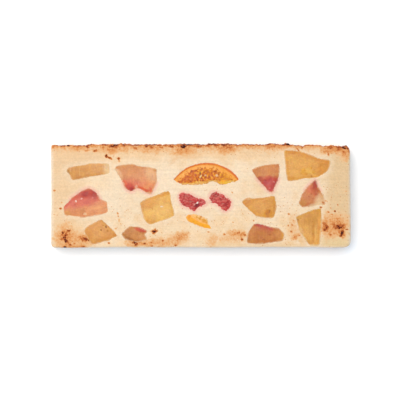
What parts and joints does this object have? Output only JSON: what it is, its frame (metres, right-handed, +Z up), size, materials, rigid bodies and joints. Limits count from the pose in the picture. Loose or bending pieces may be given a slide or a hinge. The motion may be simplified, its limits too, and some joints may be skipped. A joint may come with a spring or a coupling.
{
  "type": "marzipan bar with candied fruit",
  "caption": "Flat bar of baked marzipan, browned along one long side and cut so that the candied fruit in it shows in its broad face.",
  "frame": {"origin": "middle of the underside, which is also the middle of the bar's box in plan", "axes": "+X along the bar, +Y across it towards the browned long side, +Z up out of the cut face"},
  "size_m": [0.21, 0.0736, 0.0172],
  "materials": {
    "marzipan_slab": "matt cream almond paste, baked brown along one long side",
    "amber_strip": "translucent amber candied fruit, glossy where it is cut",
    "amber_kite": "translucent amber candied fruit, glossy where it is cut",
    "amber_square": "translucent yellow candied fruit, glossy where it is cut",
    "amber_large": "translucent amber candied fruit, glossy where it is cut",
    "amber_fin": "translucent amber candied fruit, glossy where it is cut",
    "amber_block": "fibrous amber candied fruit, glossy where it is cut",
    "blush_wedge": "candied fruit, amber along one side and dyed red along the other",
    "blush_trapezoid": "candied fruit, amber with a red lower edge",
    "blush_triangle": "candied fruit, amber with a red lower tip",
    "blush_shard": "candied fruit, brown with a red tip and a pale corner",
    "russet_small": "russet candied fruit with a red edge",
    "russet_long": "russet candied fruit with a red edge",
    "orange_slice": "candied orange, with its peel, pith and flesh",
    "orange_peel_strip": "candied orange peel",
    "cherry_left": "wet red candied cherry",
    "cherry_right": "wet red candied cherry"
  },
  "bodies": {
    "root": {"marzipan_slab": "marzipan_slab", "amber_strip": "amber_strip", "amber_kite": "amber_kite", "amber_square": "amber_square", "amber_large": "amber_large", "amber_fin": "amber_fin", "amber_block": "amber_block", "blush_wedge": "blush_wedge", "blush_trapezoid": "blush_trapezoid", "blush_triangle": "blush_triangle", "blush_shard": "blush_shard", "russet_small": "russet_small", "russet_long": "russet_long", "orange_slice": "orange_slice", "orange_peel_strip": "orange_peel_strip", "cherry_left": "cherry_left", "cherry_right": "cherry_right"}
  },
  "joints": []
}
